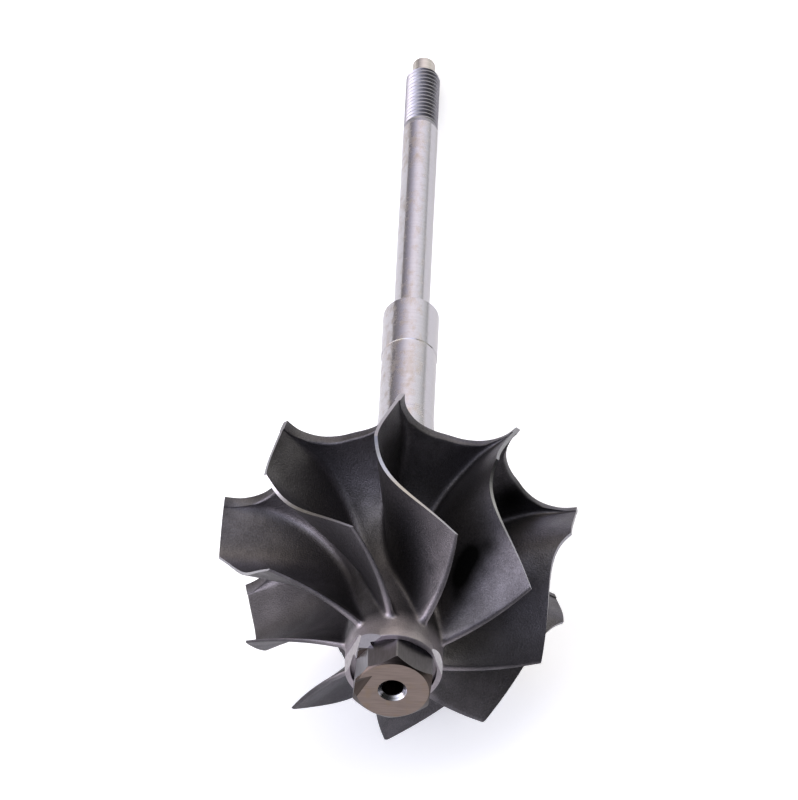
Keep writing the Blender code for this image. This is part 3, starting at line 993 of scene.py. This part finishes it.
def finishes(scene, *keys):
    """The finishes with these keys, in their order; all are built at the first call."""
    if not _finishes:
        looks = scene.turbine_finishes
        groups = {"grain": blasted_grain(), "marks": turning_marks(), "rust": rust_bloom(),
                  "nose": toward_nose(), "soot": soot_and_painted_shade_marks()}
        _finishes["cast"] = cast_material(looks, groups)
        _finishes["face"] = face_material(looks)
        for key, (name, colour, share, roughness, more) in GROUND.items():
            base = shade(getattr(looks, colour), share)[:3]
            _finishes[key] = ground_material(name, base, roughness, groups, looks.rust, **more)
    return [_finishes[key] for key in keys]


# Operators

class OBJECT_OT_turbine_wheel(bpy.types.Operator):
    """Make the cast wheel: hub, nine blades with fillets, and the scalloped disc"""
    bl_idname = "object.turbine_wheel"
    bl_label = "Cast wheel"

    def execute(self, context):
        scene = context.scene
        skin = wheel_skin(scene.turbine_wheel_sizes, -scene.turbine_nose_sizes.start / MM)
        wheel = skin.piece("cast_wheel", finishes(scene, "cast", "ground"))
        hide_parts("wheel_hub", *["blade_%d" % (k + 1) for k in range(BLADES)])
        return {'FINISHED'}


class OBJECT_OT_turbine_nose(bpy.types.Operator):
    """Make the boss with its recess, and the hexagon nose with centre hole and ground flats"""
    bl_idname = "object.turbine_nose"
    bl_label = "Boss and hexagon"

    def execute(self, context):
        scene = context.scene
        ring = make_boss(scene, scene.turbine_nose_sizes, scene.turbine_wheel_sizes.boss / MM)
        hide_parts("wheel_hub")
        nose = make_hexagon(scene, scene.turbine_nose_sizes)
        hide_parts("nose_hex")
        return {'FINISHED'}


def make_boss(scene, sizes, boss):
    """The turned boss with its recess, the metal left in it, and the balancing cuts."""
    start, front, recess = -sizes.start / MM, -sizes.front / MM, -sizes.recess / MM
    pocket = sizes.pocket / MM
    profile = [(boss, start), (boss, front + 0.16), (boss - 0.04, front + 0.05), (boss - 0.12, front),
               (pocket, front), (pocket - 0.08, recess), (2.4, recess)]
    finish = finishes(scene, "cast", "fresh", "facet", "dull", "coarse")
    ring = turned(profile, 144).piece("nose_boss", finish)
    cut(ring, [bridge_guide(recess + BRIDGE_FOOT, front - BRIDGE_DROP)], 'UNION')
    cut(ring, [ground_guide("cut_%d" % i, *c) for i, c in enumerate(BOSS_CUTS)])
    ground_faces(ring, BOSS_CUTS, (3, 4, 1))
    forward_faces(ring, front - BRIDGE_DROP, 2)
    ring.data.set_sharp_from_angle(angle=SHARP_NOSE)
    return ring


def make_hexagon(scene, sizes):
    """The hexagon, its end turned round, with the centre hole, the ground corner and the nick."""
    tip, face, recess = -sizes.tip / MM, sizes.face / MM, -sizes.recess / MM
    hole, sink = sizes.hole / MM, sizes.sink / MM
    finish = finishes(scene, "nose", "face", "facet", "turned", "sink", "corner")
    nose = hexagon_skin(sizes).piece("hexagon_nose", finish)
    wide, fall = face + CHAMFER_WIDTH, CHAMFER_WIDTH * math.tan(CHAMFER)
    cut(nose, [skin_guide("turning", turned([(wide, recess + 2.4), (wide, tip + fall), (face, tip)], 128))],
        'INTERSECT')
    drill = turned([(sink + 0.8, tip - 0.8), (sink, tip), (hole, tip + (sink - hole) * SINK_SLOPE),
                    (hole, tip + HOLE_DEPTH), (0.02, tip + DRILL_POINT)], 64)
    cut(nose, [skin_guide("drill", drill), ground_guide("flat", *NOSE_CUT), nick_guide(tip)])
    ground_faces(nose, (NOSE_CUT,), (2,))
    nose_faces(nose, sizes)
    nose.data.set_sharp_from_angle(angle=SHARP_NOSE)
    return nose


class OBJECT_OT_turbine_shaft(bpy.types.Operator):
    """Make the seal boss, journals, compressor seat and end pin"""
    bl_idname = "object.turbine_shaft"
    bl_label = "Ground shaft"

    def execute(self, context):
        scene = context.scene
        sizes = scene.turbine_shaft_sizes
        collar = turned(seal_profile(sizes), 128).piece("seal_collar", finishes(scene, "seal"), 12.0)
        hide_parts("seal_boss")

        rod = turned(rod_profile(sizes), 128).piece("ground_rod", finishes(scene, "steel"), 12.0)
        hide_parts("turbine_journal", "journal_relief", "compressor_journal", "compressor_seat")

        pin = sizes.pin / MM
        end = turned([(pin, 95.4), (pin, 98.2), (pin - 0.07, 98.38), (pin - 0.27, 98.5)], 64)
        end = end.piece("pin_end", finishes(scene, "pin"), 12.0)
        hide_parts("end_pin")
        return {'FINISHED'}


def seal_profile(sizes):
    """Radius and station of the seal boss, its ring groove and its step to the shaft."""
    seal, groove, edge = sizes.seal / MM, 5.51, 0.08
    return [(seal, 1.3), (seal, 4.42), (seal - edge, 4.53), (groove, 4.53), (groove, 5.87),
            (seal - edge, 5.87), (seal, 5.98), (seal, 8.43), (seal - 0.4, 8.9), (seal - 0.47, 8.98),
            (seal - 0.47, 9.45)]


def rod_profile(sizes):
    """Radius and station of the journals, the relief between them, the shoulder and the seat."""
    journal, relief, seat = sizes.journal / MM, sizes.relief / MM, sizes.seat / MM
    return [(journal - 0.24, 9.45), (journal, 9.7), (journal, 20.3), (relief, 20.45), (relief, 33.78),
            (journal - 0.05, 33.86), (journal, 33.94), (journal, 42.44), (journal - 0.05, 42.54),
            (journal - 0.3, 42.76), (seat + 0.5, 42.76), (seat + 0.3, 42.56), (seat, 42.8), (seat, 83.0),
            (seat - 0.08, 83.23)]


class OBJECT_OT_turbine_thread(bpy.types.Operator):
    """Make the rolled thread as a true helix"""
    bl_idname = "object.turbine_thread"
    bl_label = "Thread"

    def execute(self, context):
        scene = context.scene
        thread = thread_skin(scene.turbine_shaft_sizes, 83.15, 95.59)
        thread = thread.piece("rolled_thread_end", finishes(scene, "thread"), 60.0)
        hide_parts("threaded_end")
        return {'FINISHED'}


class OBJECT_OT_turbine_stage(bpy.types.Operator):
    """Make the pale floor, the soft light and the camera"""
    bl_idname = "object.turbine_stage"
    bl_label = "Studio"

    def execute(self, context):
        scene = context.scene
        add_floor(scene)
        add_light(scene)
        add_camera(scene)
        scene.view_settings.view_transform = 'Standard'
        return {'FINISHED'}


def add_floor(scene, half=3.0):
    """A wide pale floor under the rotor, which the camera sees faintly lit from within."""
    mesh = bpy.data.meshes.new("studio_floor")
    corners = [(-half, -half, 0), (half, -half, 0), (half, half, 0), (-half, half, 0)]
    mesh.from_pydata(corners, [], [(0, 1, 2, 3)])
    material = bpy.data.materials.new("pale_floor")
    material.use_nodes = True
    nodes = Nodes(material.node_tree)
    shader = material.node_tree.nodes["Principled BSDF"].inputs
    shader["Base Color"].default_value = (*scene.turbine_finishes.floor, 1.0)
    shader["Roughness"].default_value = 0.9
    shader["Specular IOR Level"].default_value = 0.1
    shader["Emission Color"].default_value = (0.94, 0.95, 1.0, 1.0)
    seen = nodes.add("ShaderNodeLightPath").outputs["Is Camera Ray"]
    nodes.link(nodes.math('MULTIPLY', seen, 0.4), shader["Emission Strength"])
    mesh.materials.append(material)
    floor = bpy.data.objects.new("studio_floor", mesh)
    scene.collection.objects.link(floor)


# Soft lights round the studio: azimuth from behind the shaft's end, clockwise from above,
# and elevation in degrees, strength and colour
GLOWS = (
    (240, 8, 5.6, (1.07, 0.97, 0.93)),   # bright window low on the left
    (234, 30, 2.2, (0.78, 0.9, 1.34)),   # blue sky above it
    (257, 55, 1.5, (1.06, 1.03, 0.81)),  # warm ceiling on the left
    (0, 8, 1.4, (0.9, 0.9, 1.2)),        # pale wall behind
    (0, 55, 1.5, (1.18, 1.04, 0.78)),    # warm ceiling behind
    (54, 30, 1.75, (0.98, 0.99, 0.88)),  # reflector at the back right
    (300, 8, 0.2, (1.25, 1.05, 0.6)),    # warm wall at the back left
)
GLOW_FALL = 10.0                         # how fast a glow fades from its middle
STUDIO_WALL = (0.95, 0.95, 0.97, 1.0)


def add_light(scene):
    """Soft glows round the studio, each fading as exp(10 cos - 10) of the angle from its middle.

    Seen straight on, the studio is a plain pale wall. One broad lamp hangs above.
    """
    world = bpy.data.worlds.new("studio")
    world.use_nodes = True
    nodes = Nodes(world.node_tree)
    place = nodes.add("ShaderNodeTexCoord").outputs["Generated"]
    total = (0.0, 0.0, 0.0)
    for azimuth, elevation, strength, tint in GLOWS:
        a, e = math.radians(azimuth), math.radians(elevation)
        middle = (math.sin(a) * math.cos(e), math.cos(a) * math.cos(e), math.sin(e))
        short = nodes.math('SUBTRACT', nodes.measure('DOT_PRODUCT', place, middle), 1.0)
        fade = nodes.math('EXPONENT', nodes.math('MULTIPLY', short, GLOW_FALL))
        light = {0: tuple(strength * c for c in tint), "Scale": fade}
        light = nodes.add("ShaderNodeVectorMath", light, operation='SCALE').outputs[0]
        total = nodes.vector('ADD', total, light)
    seen = nodes.add("ShaderNodeLightPath").outputs["Is Camera Ray"]
    back = world.node_tree.nodes["Background"].inputs
    nodes.link(nodes.mix(seen, total, STUDIO_WALL), back["Color"])
    back["Strength"].default_value = 1.0
    scene.world = world
    lamp = bpy.data.lights.new("broad_lamp", 'AREA')
    lamp.shape = 'RECTANGLE'
    lamp.size, lamp.size_y = 0.8, 0.6
    lamp.energy = 1.5
    lamp.color = (0.72, 0.85, 1.3)
    holder = bpy.data.objects.new("broad_lamp", lamp)
    holder.location = (0.0, 0.1, 1.1)
    scene.collection.objects.link(holder)


def add_camera(scene):
    """The photograph's view: steeply down along the shaft, from far away."""
    lens = bpy.data.cameras.new("photo_camera")
    lens.lens = 292.5
    lens.sensor_width = 36.0
    lens.clip_start = 0.05
    lens.clip_end = 20.0
    camera = bpy.data.objects.new("photo_camera", lens)
    camera.location = (0.01689205, -0.53224721, 0.74217538)
    camera.rotation_euler = tuple(math.radians(a) for a in (35.903604, -0.078876, 2.052916))
    scene.collection.objects.link(camera)
    scene.camera = camera


class VIEW3D_PT_turbine(bpy.types.Panel):
    """Steps of the turbine wheel and shaft"""
    bl_label = "Turbine wheel"
    bl_idname = "VIEW3D_PT_turbine"
    bl_space_type = 'VIEW_3D'
    bl_region_type = 'UI'
    bl_category = "Turbine"

    def draw(self, context):
        layout = self.layout
        for step in STEPS:
            layout.operator(step.bl_idname)
        for name, _ in GROUPS:
            group = getattr(context.scene, name)
            box = layout.box()
            for key in group.bl_rna.properties.keys():
                if key not in ("rna_type", "name"):
                    box.prop(group, key)


STEPS = (OBJECT_OT_turbine_wheel, OBJECT_OT_turbine_nose, OBJECT_OT_turbine_shaft,
         OBJECT_OT_turbine_thread, OBJECT_OT_turbine_stage)
GROUPS = (("turbine_wheel_sizes", WheelSizes), ("turbine_nose_sizes", NoseSizes),
          ("turbine_shaft_sizes", ShaftSizes), ("turbine_finishes", Finishes))


def register():
    for name, group in GROUPS:
        bpy.utils.register_class(group)
        setattr(bpy.types.Scene, name, PointerProperty(type=group))
    for step in STEPS:
        bpy.utils.register_class(step)
    bpy.utils.register_class(VIEW3D_PT_turbine)


def unregister():
    bpy.utils.unregister_class(VIEW3D_PT_turbine)
    for step in reversed(STEPS):
        bpy.utils.unregister_class(step)
    for name, group in reversed(GROUPS):
        delattr(bpy.types.Scene, name)
        bpy.utils.unregister_class(group)


def main():
    register()
    bpy.ops.object.turbine_wheel()
    bpy.ops.object.turbine_nose()
    bpy.ops.object.turbine_shaft()
    bpy.ops.object.turbine_thread()
    bpy.ops.object.turbine_stage()


if __name__ == "__main__":
    main()
